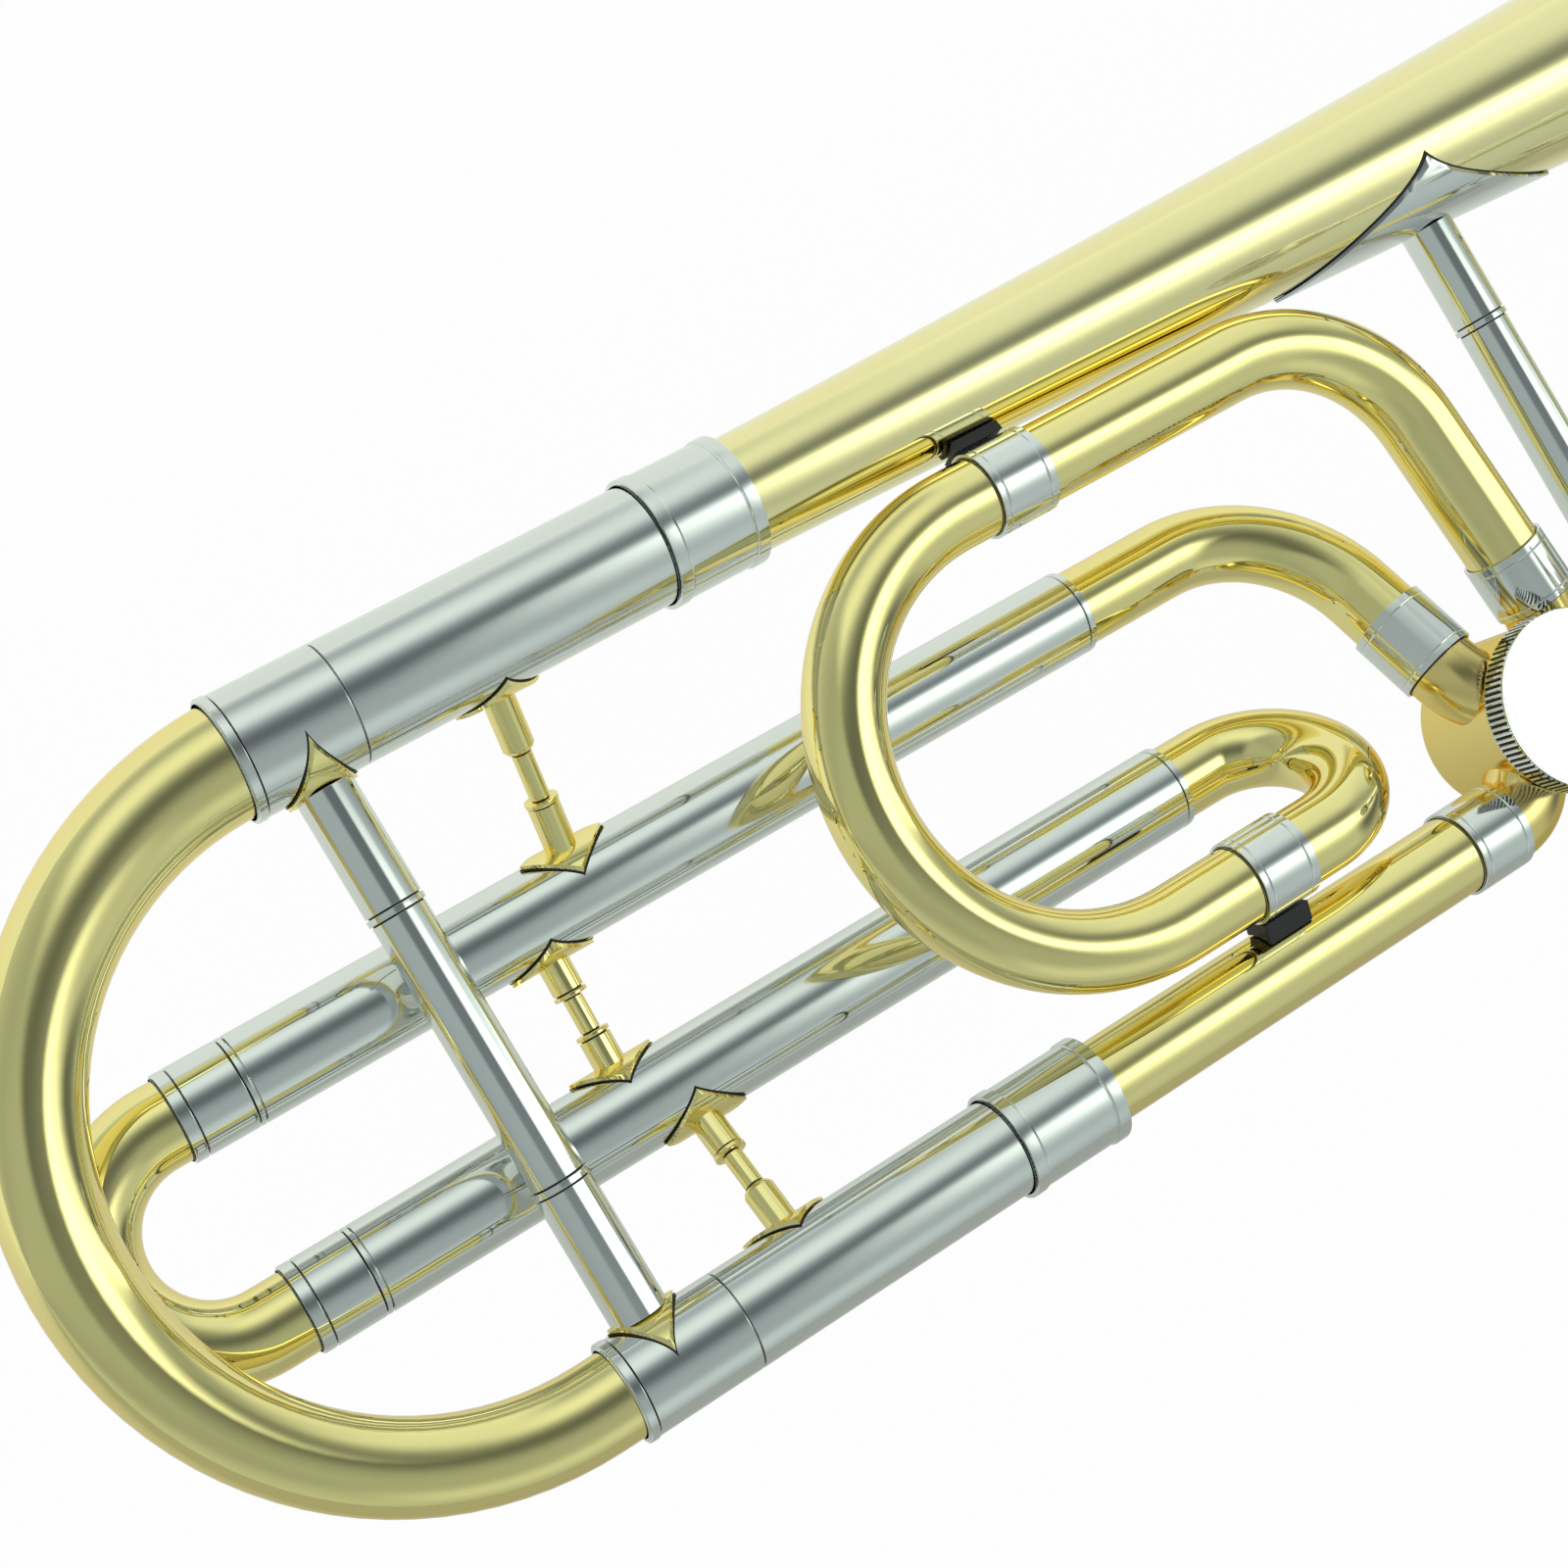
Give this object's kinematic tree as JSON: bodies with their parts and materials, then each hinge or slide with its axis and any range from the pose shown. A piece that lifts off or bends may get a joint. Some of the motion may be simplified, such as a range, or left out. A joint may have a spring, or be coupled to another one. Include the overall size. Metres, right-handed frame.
{
  "type": "tenor trombone",
  "caption": "Large-bore tenor trombone with an open-wrap F attachment, rotary valve, pull-out tuning slides and a working hand slide",
  "frame": {"origin": "On the axis of the neck tube and the lower side of the hand slide, in the plane where the slide's tenon enters its receiver, beside the player's left hand.", "axes": "+X points forwards along the hand slide to the bell's mouth, +Y from the neck line to the bell line, +Z from the lower side of the hand slide to its upper side, which holds the mouthpiece."},
  "size_m": [1.1734, 0.2531, 0.2178],
  "materials": {
    "lacquered_brass": "polished and lacquered",
    "gold_brass": "polished and lacquered",
    "nickel_silver": "polished nickel silver",
    "chromed_tube": "polished",
    "steel": "satin",
    "silver_plate": "silver plated",
    "black_rubber": "matte"
  },
  "bodies": {
    "bell_section": {"bell": "lacquered_brass", "bell_ferrule": "nickel_silver", "bell_side_slide_tube": "nickel_silver", "neck_side_slide_tube": "nickel_silver", "neck_ferrule": "nickel_silver", "neck_tube": "lacquered_brass", "valve_neck_ferrule": "nickel_silver", "gooseneck": "lacquered_brass", "slide_receiver": "nickel_silver", "rear_brace_bell_flange": "nickel_silver", "rear_brace": "nickel_silver", "front_brace_bell_flange": "nickel_silver", "front_brace": "nickel_silver", "valve_casing": "gold_brass", "valve_bearing_plate": "gold_brass", "valve_cap": "nickel_silver", "stop_plate": "gold_brass", "f_valve_upper_ferrule": "nickel_silver", "f_upper_branch": "lacquered_brass", "f_loop_upper_ferrule": "nickel_silver", "f_loop": "lacquered_brass", "f_loop_lower_ferrule": "nickel_silver", "f_u_bend": "lacquered_brass", "f_lower_outer_tube": "nickel_silver", "f_upper_outer_tube": "nickel_silver", "f_return_branch": "lacquered_brass", "f_valve_lower_ferrule": "nickel_silver", "stay_bell": "lacquered_brass", "stay_centre": "lacquered_brass", "stay_neck": "lacquered_brass", "bell_spacer": "black_rubber", "neck_spacer": "black_rubber", "lever_bracket": "gold_brass", "slide_tenon": "nickel_silver", "mouthpiece_receiver": "nickel_silver", "upper_inner_tube": "chromed_tube", "lower_inner_tube": "chromed_tube", "inner_brace": "nickel_silver"},
    "tuning_slide": {"tuning_crook": "lacquered_brass", "tuning_bell_leg": "nickel_silver", "tuning_neck_leg": "nickel_silver", "tuning_brace_bell_flange": "lacquered_brass", "tuning_brace_neck_flange": "lacquered_brass", "tuning_brace": "nickel_silver"},
    "f_tuning_slide": {"f_slide_crook": "lacquered_brass", "f_slide_upper_leg": "nickel_silver", "f_slide_lower_leg": "nickel_silver"},
    "valve_rotor": {"rotor": "gold_brass", "stop_arm": "steel"},
    "lever": {"thumb_lever": "steel"},
    "link": {"link_rod": "steel"},
    "nut": {"lock_nut": "nickel_silver"},
    "lock_ring": {"slide_lock_ring": "nickel_silver"},
    "outer_slide": {"upper_outer_tube": "lacquered_brass", "lower_outer_tube": "lacquered_brass", "outer_brace": "nickel_silver", "end_bow": "lacquered_brass", "bumper": "black_rubber"},
    "key": {"water_key": "lacquered_brass"},
    "mouthpiece_body": {"mouthpiece": "silver_plate"}
  },
  "joints": [
    {"name": "tuning_slide_pull", "type": "slide", "parent": "bell_section", "child": "tuning_slide", "axis": [-1, 0, 0], "range_m": [0, 0.045]},
    {"name": "f_slide_pull", "type": "slide", "parent": "bell_section", "child": "f_tuning_slide", "axis": [-1, 0, 0], "range_m": [0, 0.1]},
    {"name": "rotor_turn", "type": "hinge", "parent": "bell_section", "child": "valve_rotor", "pos_m": [-0.144, 0.015, 0], "axis": [0, 0, -1], "range_deg": [0, 90], "stiffness_Nm_per_rad": 0.02, "springref_deg": -17.19},
    {"name": "thumb_lever_press", "type": "hinge", "parent": "bell_section", "child": "lever", "pos_m": [-0.084, 0.03508, -0.019], "axis": [0, 0, -1], "range_deg": [0, 24]},
    {"name": "link_turn", "type": "hinge", "parent": "lever", "child": "link", "pos_m": [-0.07834, 0.00847, -0.021], "axis": [0, 0, 1], "range_deg": [0, 24]},
    {"name": "lock_nut_turn", "type": "hinge", "parent": "bell_section", "child": "nut", "pos_m": [0, 0, 0], "axis": [1, 0, 0], "continuous": true},
    {"name": "lock_ring_turn", "type": "hinge", "parent": "bell_section", "child": "lock_ring", "pos_m": [0.045, 0, 0], "axis": [1, 0, 0], "range_deg": [0, 40]},
    {"name": "hand_slide_move", "type": "slide", "parent": "bell_section", "child": "outer_slide", "axis": [1, 0, 0], "range_m": [0, 0.6]},
    {"name": "water_key_press", "type": "hinge", "parent": "outer_slide", "child": "key", "pos_m": [0.65, 0, -0.0142], "axis": [0, 1, 0], "range_deg": [0, 8], "stiffness_Nm_per_rad": 0.03, "springref_deg": -17.19},
    {"name": "mouthpiece_pull", "type": "slide", "parent": "bell_section", "child": "mouthpiece_body", "axis": [-1, 0, 0], "range_m": [0, 0.03]}
  ],
  "couplings": [
    {"joint": "thumb_lever_press", "follows": "rotor_turn", "ratio": 0.26667},
    {"joint": "link_turn", "follows": "rotor_turn", "ratio": 0.26667}
  ]
}
